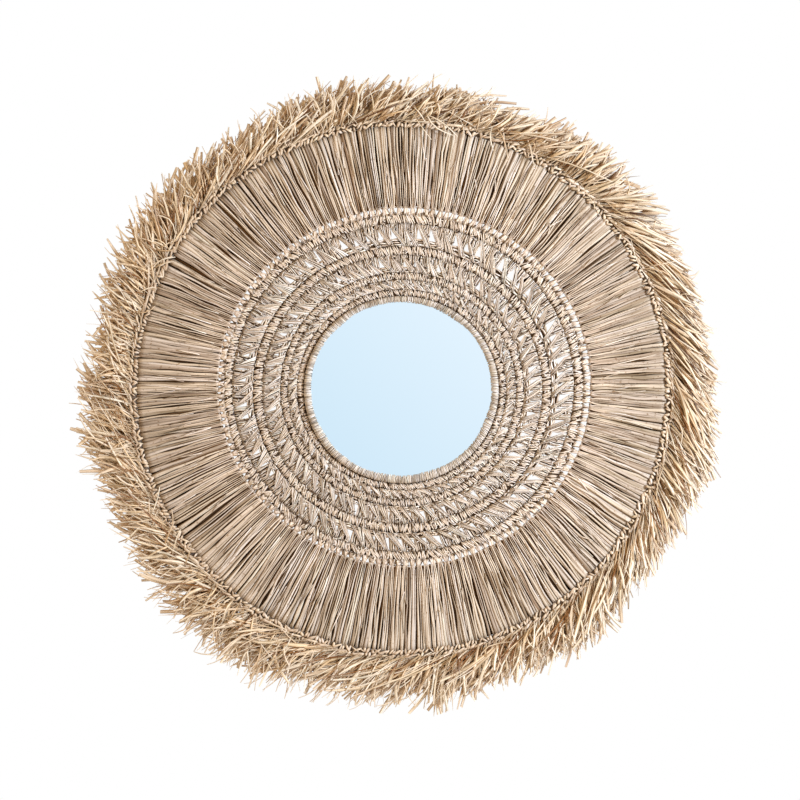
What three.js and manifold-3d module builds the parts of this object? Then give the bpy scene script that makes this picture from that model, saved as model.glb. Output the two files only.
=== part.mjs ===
// Wall mirror in a round frame of natural raffia. A disc of mirror glass lies on a backing board. Around it
// run a whipped rim, a crocheted openwork band, a band of radial straws, a knotted border and a bushy fringe.
// Millimetres, +Z up. The wall is the plane y = 0, the mirror faces -Y, and the origin is the middle of the
// board's back face. Angles run clockwise from the top as seen from the front, depths forward from the wall.

import * as THREE from 'three';
import { mergeVertices } from 'three/addons/utils/BufferGeometryUtils.js';
import Module from 'manifold-3d';

const FULL_TURN = 2 * Math.PI;
const DEGREE = Math.PI / 180;

// Clearance between neighbouring pieces
const GAP = 0.3;

// Backing board, with a blind keyhole that drops over a screw head
const BOARD_RADIUS = 128;
const BOARD_THICKNESS = 10;
const KEYHOLE_HEIGHT = 78;
const KEYHOLE_TRAVEL = 14;
const KEYHOLE_HEAD_RADIUS = 5.5;
const KEYHOLE_SHANK_RADIUS = 2.5;
const KEYHOLE_LIP = 3;
const KEYHOLE_FLOOR = 8.5;

// Mirror glass
const GLASS_RADIUS = 114;
const GLASS_THICKNESS = 4;
const DISC_SEGMENTS = 64;

// Radii where one raffia ring ends and the next begins
const RIM_INNER = 110;
const RIM_LEG_INNER = 117;
const RIM_OUTER = 120;
const CROCHET_OUTER = 223;
const EYELET_OUTER = 229;
const STRAW_OUTER = 328;
const BORDER_OUTER = 339;
const FRINGE_BULGE = 356;
const FRINGE_NOTCH = 376;
const FRINGE_TIP = 397;

// Depths in front of the wall
const BOARD_FRONT = BOARD_THICKNESS;
const GLASS_BACK = BOARD_FRONT + GAP;
const GLASS_FRONT = GLASS_BACK + GLASS_THICKNESS;
const RIM_SHOULDER = 18;
const RIM_CROWN = 20.5;
const CROCHET_BACK = BOARD_FRONT + GAP;
const STRAW_BACK = 9;
const STRAW_RIDGE = 17.5;
const STRAW_VALLEY = 14;

// The hand-worked rings are a little wider than high, and truer circles towards the border
const OVAL_INSIDE = 0.02;
const OVAL_OUTSIDE = 0.005;

// Whipping of the rim, counted in turns of a bunch of strands
const RIM_TURNS = 40;
const WHIP_GROOVE = 1.2;

// Openwork: three rows of tall stitches, each with a dense row over it
const STITCHES = 54;
const ROW_PITCHES = [30, 35, 37.7];
const HOLE_START_SHARE = 0.18;
const HOLE_END_SHARE = 0.66;
const HOLE_WIDTH_SHARE = 0.5;
const STITCH_SLANT_SHARE = 0.45;
const BASE_DEPTH = 15.6;
const HOLE_DEPTH = 14.6;
const APEX_DEPTH = 15.2;
const RIDGE_DEPTH = 17.2;

// Straws, knots and fringe locks, each alternating with the groove, waist or notch beside it
const STRAW_RIDGES = 96;
const KNOTS = 72;
const FRINGE_LOCKS = 76;

// A knot of the border, and how far it is drawn in at its waist
const KNOT_FOOT = 6;
const KNOT_SHOULDER = 16;
const KNOT_CROWN = 22;
const KNOT_WAIST = 1.6;

// Depths of a fringe lock and of the notch beside it, from where they leave the border to where they end
const ROOT_FRONT = 20;
const ROOT_BACK = 8;
const LOCK = { end: FRINGE_TIP, bulgeFront: 38, endFront: 28, endBack: 16, bulgeBack: 1.5 };
const NOTCH = { end: FRINGE_NOTCH, bulgeFront: 33, endFront: 30, endBack: 11, bulgeBack: 4 };

// Trim of the fringe as waves round the rim: height, number of waves and angle of one crest
const FRINGE_WAVES = [
  { height: 7.9, count: 1, crest: 216 * DEGREE },
  { height: 3.6, count: 7, crest: 46 * DEGREE },
  { height: 3.6, count: 9, crest: 18 * DEGREE },
];

// The locks lean clockwise, more in some places than in others
const SWEEP_MEAN = 3.6 * DEGREE;
const SWEEP_SWING = 1.6 * DEGREE;
const SWEEP_WAVES = 5;
const SWEEP_CREST = 55 * DEGREE;

const wasm = await Module();
wasm.setup();

// Point at an angle, radius and depth, carried out along the hand-worked oval
function place(angle, radius, depth) {
  const outward = THREE.MathUtils.smoothstep(radius, EYELET_OUTER, STRAW_OUTER);
  const oval = THREE.MathUtils.lerp(OVAL_INSIDE, OVAL_OUTSIDE, outward);
  const across = radius * (1 + oval) * Math.sin(angle);
  const up = radius * (1 - oval) * Math.cos(angle);
  return [across, -depth, up];
}

function geometryFrom(positions, triangles) {
  const geometry = new THREE.BufferGeometry();
  geometry.setAttribute('position', new THREE.Float32BufferAttribute(positions, 3));
  geometry.setIndex(triangles);
  geometry.computeVertexNormals();
  return geometry;
}

// Closed ring: a section at every station, its points in order from the inner front over the outer front to
// the outer back and the inner back, joined to the next station's section by quads
function ringGeometry(stationCount, sectionAt) {
  const positions = [];
  const triangles = [];
  const pointCount = sectionAt(0, 0).length;
  for (let station = 0; station < stationCount; station += 1) {
    const angle = (station / stationCount) * FULL_TURN;
    for (const { radius, depth, turn = 0 } of sectionAt(angle, station)) {
      positions.push(...place(angle + turn, radius, depth));
    }
    const next = (station + 1) % stationCount;
    for (let point = 0; point < pointCount; point += 1) {
      const following = (point + 1) % pointCount;
      const here = station * pointCount + point;
      const beside = next * pointCount + point;
      const besideFollowing = next * pointCount + following;
      const hereFollowing = station * pointCount + following;
      triangles.push(here, beside, besideFollowing, here, besideFollowing, hereFollowing);
    }
  }
  return geometryFrom(positions, triangles);
}

function solidFrom(geometry) {
  const bare = geometry.clone();
  bare.deleteAttribute('normal');
  bare.deleteAttribute('uv');
  const merged = mergeVertices(bare, 1e-4);
  return new wasm.Manifold(new wasm.Mesh({
    numProp: 3,
    vertProperties: new Float32Array(merged.attributes.position.array),
    triVerts: new Uint32Array(merged.index.array),
  }));
}

function geometryOf(solid) {
  const mesh = solid.getMesh();
  return geometryFrom(Array.from(mesh.vertProperties), Array.from(mesh.triVerts));
}

// Disc standing on edge, from a back depth to a front depth
function discGeometry(radius, backDepth, frontDepth) {
  const disc = new THREE.CylinderGeometry(radius, radius, frontDepth - backDepth, DISC_SEGMENTS);
  disc.translate(0, -(backDepth + frontDepth) / 2, 0);
  return disc;
}

// Outline in the wall's plane carried forward from one depth to another
function cutterFrom(outline, backDepth, frontDepth) {
  const cutter = new THREE.ExtrudeGeometry(outline, {
    depth: frontDepth - backDepth,
    bevelEnabled: false,
    curveSegments: 8,
  });
  cutter.rotateX(Math.PI / 2);
  cutter.translate(0, -backDepth, 0);
  return solidFrom(cutter);
}

// Round entry for the screw head, with the narrower slot for its shank above
function keyholeOutline() {
  const top = KEYHOLE_HEIGHT + KEYHOLE_TRAVEL;
  const shoulder = Math.asin(KEYHOLE_SHANK_RADIUS / KEYHOLE_HEAD_RADIUS);
  const left = Math.PI / 2 + shoulder;
  const right = Math.PI / 2 - shoulder + FULL_TURN;
  const outline = new THREE.Shape();
  outline.absarc(0, KEYHOLE_HEIGHT, KEYHOLE_HEAD_RADIUS, left, right, false);
  outline.absarc(0, top, KEYHOLE_SHANK_RADIUS, 0, Math.PI, false);
  outline.closePath();
  return outline;
}

// Round-ended pocket behind the keyhole, where the screw head travels
function headPocketOutline() {
  const outline = new THREE.Shape();
  outline.absarc(0, KEYHOLE_HEIGHT, KEYHOLE_HEAD_RADIUS, Math.PI, FULL_TURN, false);
  outline.absarc(0, KEYHOLE_HEIGHT + KEYHOLE_TRAVEL, KEYHOLE_HEAD_RADIUS, 0, Math.PI, false);
  outline.closePath();
  return outline;
}

function boardGeometry() {
  const behindWall = -1;
  const disc = solidFrom(discGeometry(BOARD_RADIUS, 0, BOARD_THICKNESS));
  const slot = cutterFrom(keyholeOutline(), behindWall, KEYHOLE_LIP + GAP);
  const pocket = cutterFrom(headPocketOutline(), KEYHOLE_LIP, KEYHOLE_FLOOR);
  return geometryOf(disc.subtract(slot).subtract(pocket));
}

// Whipped ring with a lip over the glass and a leg down to the board outside it
function rimGeometry() {
  return ringGeometry(2 * RIM_TURNS, (angle, station) => {
    const groove = (station % 2) * WHIP_GROOVE;
    return [
      { radius: RIM_INNER + groove / 2, depth: RIM_SHOULDER - groove },
      { radius: (RIM_INNER + RIM_OUTER) / 2, depth: RIM_CROWN - groove },
      { radius: RIM_OUTER, depth: RIM_SHOULDER - groove },
      { radius: RIM_OUTER, depth: BOARD_FRONT + GAP },
      { radius: RIM_LEG_INNER, depth: BOARD_FRONT + GAP },
      { radius: RIM_LEG_INNER, depth: GLASS_FRONT + GAP },
      { radius: RIM_INNER + groove / 2, depth: GLASS_FRONT + GAP },
    ];
  });
}

// Openwork ring. Every row starts from a base ring, opens into a three-cornered hole per stitch that leans
// anticlockwise to its outer corner, and closes in a raised dense row, the next row's base.
function crochetGeometry() {
  const positions = [];
  const triangles = [];
  const pitch = FULL_TURN / STITCHES;

  // A ring of points, each with its twin on the back one index later
  const addRing = (radius, depth, offset) => {
    const first = positions.length / 3;
    for (let stitch = 0; stitch < STITCHES; stitch += 1) {
      const angle = stitch * pitch + offset;
      positions.push(...place(angle, radius, depth), ...place(angle, radius, CROCHET_BACK));
    }
    return (stitch) => first + 2 * (stitch % STITCHES);
  };
  const addPatch = (a, b, c) => {
    triangles.push(a, b, c, a + 1, c + 1, b + 1);
  };
  const addQuad = (a, b, c, d) => {
    addPatch(a, b, c);
    addPatch(a, c, d);
  };
  const addWall = (a, b) => {
    triangles.push(b, a, a + 1, b, a + 1, b + 1);
  };

  let radius = RIM_OUTER + GAP;
  let turned = 0;
  let base = addRing(radius, BASE_DEPTH, turned);
  for (let stitch = 0; stitch < STITCHES; stitch += 1) {
    addWall(base(stitch), base(stitch + 1));
  }
  for (const rowPitch of ROW_PITCHES) {
    const halfHole = (HOLE_WIDTH_SHARE * pitch) / 2;
    const holeStart = radius + HOLE_START_SHARE * rowPitch;
    const left = addRing(holeStart, HOLE_DEPTH, turned - halfHole);
    const right = addRing(holeStart, HOLE_DEPTH, turned + halfHole);
    turned -= STITCH_SLANT_SHARE * pitch;
    const apex = addRing(radius + HOLE_END_SHARE * rowPitch, APEX_DEPTH, turned);
    radius += rowPitch;
    const ridge = addRing(radius, RIDGE_DEPTH, turned);
    for (let stitch = 0; stitch < STITCHES; stitch += 1) {
      const next = stitch + 1;
      addPatch(base(stitch), right(stitch), left(stitch));
      addQuad(base(stitch), base(next), left(next), right(stitch));
      addQuad(right(stitch), left(next), apex(next), apex(stitch));
      addQuad(apex(stitch), apex(next), ridge(next), ridge(stitch));
      addWall(right(stitch), left(stitch));
      addWall(left(stitch), apex(stitch));
      addWall(apex(stitch), right(stitch));
    }
    base = ridge;
  }
  for (let stitch = 0; stitch < STITCHES; stitch += 1) {
    addWall(base(stitch + 1), base(stitch));
  }
  return geometryFrom(positions, triangles);
}

// Ridged ring of straws. The grooves start further out than the ridges, which leaves a row of eyelets.
function strawGeometry() {
  return ringGeometry(2 * STRAW_RIDGES, (angle, station) => {
    const groove = station % 2 === 1;
    const inner = groove ? EYELET_OUTER : CROCHET_OUTER + GAP;
    const front = groove ? STRAW_VALLEY : STRAW_RIDGE;
    return [
      { radius: inner, depth: front },
      { radius: STRAW_OUTER, depth: front },
      { radius: STRAW_OUTER, depth: STRAW_BACK },
      { radius: inner, depth: STRAW_BACK },
    ];
  });
}

// Knotted ring: full knots, drawn in between
function borderGeometry() {
  return ringGeometry(2 * KNOTS, (angle, station) => {
    const waist = (station % 2) * KNOT_WAIST;
    const middle = (STRAW_OUTER + GAP + BORDER_OUTER) / 2;
    return [
      { radius: STRAW_OUTER + GAP, depth: KNOT_SHOULDER - waist },
      { radius: middle, depth: KNOT_CROWN - 2 * waist },
      { radius: BORDER_OUTER, depth: KNOT_SHOULDER - waist },
      { radius: middle, depth: KNOT_FOOT + waist },
    ];
  });
}

function fringeTrim(angle) {
  const heights = FRINGE_WAVES.map(({ height, count, crest }) => height * Math.cos(count * (angle - crest)));
  return heights.reduce((sum, height) => sum + height, 0);
}

// Bushy ring of swept locks: each lock swells from the border, leans clockwise and ends in a blunt tip
function fringeGeometry() {
  const inner = BORDER_OUTER + GAP;
  return ringGeometry(2 * FRINGE_LOCKS, (angle, station) => {
    const shape = station % 2 === 0 ? LOCK : NOTCH;
    const end = shape.end + fringeTrim(angle);
    const sweep = SWEEP_MEAN + SWEEP_SWING * Math.cos(SWEEP_WAVES * (angle - SWEEP_CREST));
    const leaning = (radius) => (sweep * (radius - inner)) / (FRINGE_TIP - inner);
    const points = [
      { radius: inner, depth: ROOT_FRONT },
      { radius: FRINGE_BULGE, depth: shape.bulgeFront },
      { radius: end, depth: shape.endFront },
      { radius: end, depth: shape.endBack },
      { radius: FRINGE_BULGE, depth: shape.bulgeBack },
      { radius: inner, depth: ROOT_BACK },
    ];
    return points.map((point) => ({ ...point, turn: leaning(point.radius) }));
  });
}

function piece(name, geometry, color, roughness, metalness = 0) {
  const mesh = new THREE.Mesh(geometry, new THREE.MeshStandardMaterial({ color, roughness, metalness }));
  mesh.name = name;
  return mesh;
}

const wallMirror = new THREE.Group();
wallMirror.add(
  piece('backing_board', boardGeometry(), 0x6b5138, 0.9),
  piece('mirror_glass', discGeometry(GLASS_RADIUS, GLASS_BACK, GLASS_FRONT), 0xd9eefc, 0.05, 1),
  piece('mirror_rim', rimGeometry(), 0xc8b7a2, 0.85),
  piece('crochet_band', crochetGeometry(), 0xc5b49f, 0.88),
  piece('straw_band', strawGeometry(), 0xc1ac95, 0.85),
  piece('knotted_border', borderGeometry(), 0xb59c81, 0.9),
  piece('fringe', fringeGeometry(), 0xc3a687, 0.88),
);

export default wallMirror;
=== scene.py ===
import bpy
import numpy as np
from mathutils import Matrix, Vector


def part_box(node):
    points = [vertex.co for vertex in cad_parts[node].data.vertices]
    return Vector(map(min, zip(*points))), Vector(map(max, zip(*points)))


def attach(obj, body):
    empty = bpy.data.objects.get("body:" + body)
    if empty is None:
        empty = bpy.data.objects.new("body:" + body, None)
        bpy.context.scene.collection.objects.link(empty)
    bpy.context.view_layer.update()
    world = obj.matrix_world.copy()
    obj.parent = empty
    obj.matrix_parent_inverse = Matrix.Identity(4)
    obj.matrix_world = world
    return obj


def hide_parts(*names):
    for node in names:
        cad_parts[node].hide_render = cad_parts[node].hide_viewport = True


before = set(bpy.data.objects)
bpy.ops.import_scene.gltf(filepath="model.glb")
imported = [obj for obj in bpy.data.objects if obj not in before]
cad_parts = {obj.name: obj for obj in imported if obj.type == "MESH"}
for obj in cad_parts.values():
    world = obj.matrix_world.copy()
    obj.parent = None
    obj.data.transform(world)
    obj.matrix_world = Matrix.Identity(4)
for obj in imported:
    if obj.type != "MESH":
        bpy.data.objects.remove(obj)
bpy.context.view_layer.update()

# Metres. The wall is the plane y = 0 and the mirror faces -Y.
# Angles run clockwise from the top, seen from the front. Depth is the distance in front of the wall.
TURN = 2.0 * np.pi
FRONT = np.array((0.0, -1.0, 0.0))
BACK = -FRONT


def reach(node):
    """Mean of a ring's half width and half height."""
    low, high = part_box(node)
    return (high.x - low.x + high.z - low.z) / 4.0


def depths(node):
    """How far a node's back and front stand in front of the wall."""
    low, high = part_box(node)
    return -high.y, -low.y


STRAW_OUTER = reach("straw_band")
BORDER_OUTER = reach("knotted_border")
RIM_BACK = depths("mirror_rim")[0]
BORDER_BACK = depths("knotted_border")[0]
FRINGE_BACK, FRINGE_FRONT = depths("fringe")

# Section of the rim's wrapping, from the glass over the crown to the back, and the middle of that section.
WRAP_RADIUS = np.array((0.1102, 0.1104, 0.1120, 0.1147, 0.1172, 0.1184, 0.1186))
WRAP_DEPTH = np.array((0.0147, 0.0162, 0.0184, 0.0196, 0.0186, 0.0160, RIM_BACK + 0.0005))
WRAP_MIDDLE = (0.1144, 0.0150)

# Depth of the crochet band's middle, where its dark sheet of painted shade lies, and how high the back's
# relief is as a share of the front's.
CROCHET_MIDDLE = 0.0120
BACK_RELIEF = 0.32

# Each crochet row: inner edge, edge of its close stitches, outer edge, number of stitches, share of closed
# holes, and the least and greatest offset of an open stitch's foot.
CROCHET_ROWS = (
    (0.1278, 0.1394, 0.1486, 68, 0.72, 0.6, 0.85),
    (0.1486, 0.1712, 0.1821, 72, 0.2, 0.75, 0.98),
    (0.1821, 0.2089, 0.2204, 78, 0.08, 0.85, 1.08),
)
# First row of close stitches round the rim: inner edge, outer edge and number of stitch pairs.
FIRST_ROW = (0.1197, 0.1278, 62)

# The eyelets: number, shift of the first in pitches, inner edge, end on the close side, how much further out
# the end lies on the open side, and the outer edge of their row.
EYELETS = 169
EYELET_SHIFT = 0.3
EYELET_INNER = 0.2206
EYELET_END = 0.2266
EYELET_STRETCH = 0.0024
EYELET_OUTER = 0.229

# Straws to an eyelet, and the depths of the layers of straws from the front backward.
STRAWS_PER_EYELET = 4
LOOSE_DEPTH = 0.0160
FACE_DEPTH = 0.0142
# The slit layer and the layer behind it are dark as painted shade.
SLIT_DEPTH = 0.0129
SHADE_DEPTH = 0.0116
REAR_DEPTH = 0.0101

# Rows of knots: number, middle radius, reach outward, mean slant in pitches and how much it varies.
KNOT_ROWS = ((460, 0.3300, 0.0060, 0.6, 1.1), (420, 0.3350, 0.0044, 1.6, 1.5))
KNOT_DEPTH = 0.0160
# Core under the knots, dark as painted shade between them.
CORE_INNER = 0.3288
CORE_OUTER = 0.3386
CORE_FRONT = 0.0162

# The weave is most open toward this angle, in degrees, and closest opposite to it.
OPEN_SIDE = 65.0

# Lean of the fringe from the radial direction in degrees, at angles round the mirror in degrees.
FRINGE_LEAN = (
    (7, 35), (21, 50), (38, 12), (55, 60), (76, 58), (92, 56), (106, 38), (126, 60), (149, 40), (168, 45),
    (190, 58), (213, 24), (235, 62), (256, 33), (280, 17), (300, 32), (323, 66), (341, 24), (353, 48),
)
# The fringe is combed straight toward this angle, in degrees.
COMBED_SIDE = 85.0
# Waves of the fringe's outline: height, number of crests, angle of one crest in degrees.
FRINGE_REACH = 0.392
FRINGE_WAVES = (
    (0.0080, 1, 216), (0.0025, 2, 55), (0.0020, 6, 42), (0.0035, 7, 46),
    (0.0025, 8, 36), (0.0035, 9, 18), (0.0020, 11, 8),
)
# How far a loose blade may pass that outline, and the depth where loose blades begin.
STRAY_REACH = 0.012
STRAY_DEPTH = 0.0205
# Number of locks that the blades draw together into.
LOCKS = 130
LONGEST_BLADE = 0.105

# Groups of blades in each fringe piece: number, depths of the roots, rise and fall of the depth, shares of
# the way to the outline, half widths, tones, looseness and extra sweep.
BLADES_BEHIND = (
    (740, (0.002, 0.004), (-0.001, 0.003), (-0.003, 0.002),
     (0.62, 0.92), (0.0014, 0.0034), (0.55, 1.0), 0.25, 0.0),
)
BLADES_UNDER = (
    # This group is dark as painted shade in the gaps between the blades above.
    (820, (0.005, 0.010), (-0.001, 0.004), (-0.003, 0.004),
     (0.5, 0.76), (0.0018, 0.0042), (0.0, 0.35), 0.22, 0.0),
    (1100, (0.008, 0.016), (0.0, 0.008), (-0.004, 0.006),
     (0.7, 1.05), (0.0012, 0.0034), (0.3, 0.95), 0.26, 0.0),
)
BLADES_OVER = (
    (940, (0.012, 0.019), (0.004, 0.014), (-0.006, 0.006),
     (0.55, 1.07), (0.0008, 0.0028), (0.42, 1.0), 0.3, 0.0),
    (680, (0.017, 0.022), (0.006, 0.016), (-0.010, 0.004),
     (0.4, 0.98), (0.0007, 0.0026), (0.5, 1.0), 0.34, 0.0),
    # This group of thin dark blades is painted shade between the blades.
    (340, (0.016, 0.023), (0.006, 0.016), (-0.008, 0.004),
     (0.35, 1.0), (0.0004, 0.0010), (0.0, 0.25), 0.4, 0.0),
    (300, (0.016, 0.023), (0.007, 0.017), (-0.008, 0.004),
     (0.35, 1.03), (0.0004, 0.0009), (0.75, 1.0), 0.45, 0.0),
    (420, (0.016, 0.019), (0.002, 0.006), (-0.005, 0.001),
     (0.12, 0.45), (0.0007, 0.0022), (0.25, 1.0), 0.5, 0.4),
)
# Groups of loose blades: number, middle angle and spread in degrees, radii where they start, lengths, lean
# and its looseness in degrees, and half widths.
STRAYS = (
    (60, 210, 25, (0.360, 0.385), (0.025, 0.045), 15, 18, (0.0004, 0.0008)),
    (150, 20, 180, (0.352, 0.378), (0.015, 0.036), 20, 25, (0.0004, 0.0009)),
    (40, 20, 180, (0.334, 0.346), (0.035, 0.075), 68, 14, (0.0005, 0.0011)),
    (14, 14, 13, (0.342, 0.362), (0.020, 0.050), 128, 18, (0.0006, 0.0012)),
    (8, 237, 9, (0.340, 0.358), (0.020, 0.045), 135, 15, (0.0006, 0.0012)),
    (6, 290, 10, (0.340, 0.355), (0.020, 0.040), 138, 15, (0.0006, 0.0012)),
)

# The weave is wider than tall by these shares of its radius. Between two radii it is also out of round, by
# this height with three crests, one at this angle in radians, and that fades over these widths.
CROCHET_OVAL = 0.02
FRINGE_OVAL = 0.005
WOBBLE = 0.0006
WOBBLE_CREST = 0.7
WOBBLE_FROM = 0.165
WOBBLE_TO = 0.30
WOBBLE_FADE_IN = 0.04
WOBBLE_FADE_OUT = 0.06

# Drift of the rows off the middle, across and up, at radii from the rim to the border.
DRIFT_AT = (0.110, 0.119, 0.148, 0.182, 0.209, 0.222, 0.330, 0.350)
DRIFT_ACROSS = (-0.0015, -0.0015, -0.0005, -0.0005, 0.0010, 0.0020, -0.0015, 0.0)
DRIFT_UP = (0.0, -0.0010, -0.0005, -0.0005, 0.0020, 0.0025, 0.0005, 0.0)

# The strands' UV map: a colour column for each tone from the darkest to the palest, the column of painted
# shade for the dark sheets and cores, and the margins and spans of a strand's way round in U and of its
# length in V.
UV_NAME = "OFBake"
COLUMNS = 48
PAINTED_SHADE_COLUMN = 4
U_MARGIN = 0.1
U_SPAN = 0.8
V_MARGIN = 0.03
V_SPAN = 0.94
# Caps of a strand in the V margins: half width in columns, half height, and middle of the first and the last.
CAP_U = 0.3
CAP_V = 0.01
CAP_START = 0.015
CAP_END = 0.985

# The stage: floor, and a camera that sees a given width at the wall, aimed at a point across and up.
FLOOR_LEVEL = -1.25
FLOOR_RADIUS = 4.4
FLOOR_SIDES = 128
SENSOR_WIDTH = 36.0
CAMERA_DISTANCE = 3.1
VIEW_WIDTH = 1.0
VIEW_ACROSS = -0.0031
VIEW_UP = -0.01375


def ease(share):
    """Smooth step from 0 to 1."""
    share = np.clip(share, 0.0, 1.0)
    return share * share * (3.0 - 2.0 * share)


def hump(share):
    """Half a sine wave, 0 at both ends and 1 in the middle."""
    return np.sin(np.pi * share)


def waves(angle, terms):
    """Sum of cosine waves round the mirror, each a height, a number of crests and the angle of one crest."""
    return sum(height * np.cos(count * (angle - np.radians(crest))) for height, count, crest in terms)


def closeness(angle):
    """From 0 at the open side of the weave to 1 opposite."""
    return 0.5 - 0.5 * np.cos(angle - np.radians(OPEN_SIDE))


def eyelet_end(angle):
    """Outer end of the eyelets, further out on the open side."""
    return EYELET_END + EYELET_STRETCH * (1.0 - closeness(angle))


def place(angle, radius, depth):
    """Point at an angle, a radius and a depth.
    The weave is slightly wider than tall, more in the crochet than in the fringe, and its rows
    drift a little off the middle and out of round, as work made by hand does."""
    outward = ease((radius - EYELET_OUTER) / (STRAW_OUTER - EYELET_OUTER))
    oval = CROCHET_OVAL + (FRINGE_OVAL - CROCHET_OVAL) * outward
    loose = ease((radius - WOBBLE_FROM) / WOBBLE_FADE_IN) * ease((WOBBLE_TO - radius) / WOBBLE_FADE_OUT)
    radius = radius + WOBBLE * np.cos(3.0 * (angle - WOBBLE_CREST)) * loose
    across = np.interp(radius, DRIFT_AT, DRIFT_ACROSS)
    rise = np.interp(radius, DRIFT_AT, DRIFT_UP)
    x = radius * (1.0 + oval) * np.sin(angle) + across
    z = radius * (1.0 - oval) * np.cos(angle) + rise
    return np.stack(np.broadcast_arrays(x, -depth, z), -1)


def polygon(corners):
    """Regular section with unit radius, counter-clockwise, a corner on each side."""
    turn = np.pi + TURN * np.arange(corners) / corners
    return np.stack((np.cos(turn), np.sin(turn)), -1)


PENTAGON = polygon(5)
LENS = polygon(4)
BLADE = np.array(((-1.0, -0.5), (0.1, -0.3), (1.0, -0.4), (-0.1, 1.0)))


def strands(path, half_width, half_thick, section, column, roll=0.0, facing=FRONT):
    """Carries a closed section along every path of an array shaped (strands, stations, 3).
    At each station the section's width lies across the path and its thickness points along the
    facing direction, both turned about the path by the roll. U holds the strand's colour column
    and the way round the section, V runs from the start of the strand to its end. Flat caps close
    both ends."""
    count, stations = path.shape[:2]
    corners = len(section)
    along = np.gradient(path, axis=1)
    along /= np.linalg.norm(along, axis=-1, keepdims=True)
    facing = np.broadcast_to(facing, path.shape)
    up = facing - along * np.sum(along * facing, -1, keepdims=True)
    up /= np.linalg.norm(up, axis=-1, keepdims=True)
    side = np.cross(up, along)
    turn = np.broadcast_to(roll, (count, stations))[..., None]
    lift = up * np.cos(turn) + side * np.sin(turn)
    side = side * np.cos(turn) - up * np.sin(turn)
    width = np.broadcast_to(half_width, (count, stations))[..., None, None]
    thick = np.broadcast_to(half_thick, (count, stations))[..., None, None]
    points = path[:, :, None, :] + side[:, :, None, :] * width * section[:, 0, None]
    points = points + lift[:, :, None, :] * thick * section[:, 1, None]

    index = np.arange(count * stations * corners).reshape(count, stations, corners)
    after = np.roll(index, -1, axis=2)
    quads = np.stack((index[:, :-1], after[:, :-1], after[:, 1:], index[:, 1:]), -1)
    column = np.broadcast_to(column, (count,))[:, None, None]
    around = np.arange(corners) / corners
    u_here = (column + U_MARGIN + U_SPAN * around) / COLUMNS
    u_next = u_here + U_SPAN / corners / COLUMNS
    v = V_MARGIN + V_SPAN * np.linspace(0.0, 1.0, stations)
    shape = (count, stations - 1, corners)
    u = np.stack([np.broadcast_to(a, shape) for a in (u_here, u_next, u_next, u_here)], -1)
    v_low = np.broadcast_to(v[None, :-1, None], shape)
    v_high = np.broadcast_to(v[None, 1:, None], shape)
    quad_uv = np.stack((u, np.stack((v_low, v_low, v_high, v_high), -1)), -1)

    turn = TURN * np.arange(corners) / corners
    cap_u = np.broadcast_to((column[:, :, 0] + 0.5 + CAP_U * np.cos(turn)) / COLUMNS, (count, corners))
    cap_v = np.broadcast_to(CAP_V * np.sin(turn), (count, corners))
    start_uv = np.stack((cap_u, CAP_START - cap_v), -1)
    end_uv = np.stack((cap_u, CAP_END + cap_v), -1)
    caps = np.concatenate((index[:, 0, ::-1], index[:, -1]))
    cap_uv = np.concatenate((start_uv, end_uv))
    faces = ((quads.reshape(-1, 4), quad_uv.reshape(-1, 4, 2)), (caps, cap_uv))
    return points.reshape(-1, 3), faces


def ring(profile, stations, column):
    """Carries a closed profile of (radius, depth) corners all the way round the mirror."""
    profile = np.asarray(profile)
    corners = len(profile)
    angle = TURN * np.arange(stations)[:, None] / stations
    points = place(angle, profile[None, :, 0], profile[None, :, 1])
    index = np.arange(stations * corners).reshape(stations, corners)
    after = np.roll(index, -1, axis=1)
    quads = np.stack((index, after, np.roll(after, -1, axis=0), np.roll(index, -1, axis=0)), -1)
    around = (np.arange(corners)[:, None] + np.array((0, 1, 1, 0))) / corners
    u = (column + U_MARGIN + U_SPAN * around) / COLUMNS
    v = V_MARGIN + V_SPAN * (np.arange(stations)[:, None] + np.array((0, 0, 1, 1))) / stations
    uv = np.stack(np.broadcast_arrays(u[None], v[:, None]), -1)
    return points.reshape(-1, 3), ((quads.reshape(-1, 4), uv.reshape(-1, 4, 2)),)


def make_piece(name, node, material, parts, smooth=True):
    """One mesh object from several sets of strands and rings, standing for a CAD node."""
    points, corners, sizes, uvs = [], [], [], []
    first = 0
    for part_points, groups in parts:
        for faces, uv in groups:
            corners.append(faces.ravel() + first)
            sizes.append(np.full(len(faces), faces.shape[1]))
            uvs.append(uv.reshape(-1, 2))
        points.append(part_points)
        first += len(part_points)
    points = np.concatenate(points)
    corners = np.concatenate(corners)
    sizes = np.concatenate(sizes)
    mesh = bpy.data.meshes.new(name)
    mesh.vertices.add(len(points))
    mesh.vertices.foreach_set("co", points.astype(np.float32).ravel())
    mesh.loops.add(len(corners))
    mesh.loops.foreach_set("vertex_index", corners.astype(np.int32))
    mesh.polygons.add(len(sizes))
    mesh.polygons.foreach_set("loop_start", (np.cumsum(sizes) - sizes).astype(np.int32))
    mesh.polygons.foreach_set("use_smooth", np.full(len(sizes), smooth))
    layer = mesh.uv_layers.new(name=UV_NAME)
    layer.uv.foreach_set("vector", np.concatenate(uvs).astype(np.float32).ravel())
    mesh.update(calc_edges=True)
    mesh.validate()
    mesh.materials.append(material)
    made = bpy.data.objects.new(name, mesh)
    bpy.context.scene.collection.objects.link(made)
    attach(made, "root")
    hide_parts(node)


def tones(rng, shape, low, high):
    """Random colour columns between two shares of the way from the darkest to the palest."""
    share = low + (high - low) * rng.beta(1.6, 1.4, shape)
    return np.clip(np.floor(share * COLUMNS), 0, COLUMNS - 1).ravel()


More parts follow.
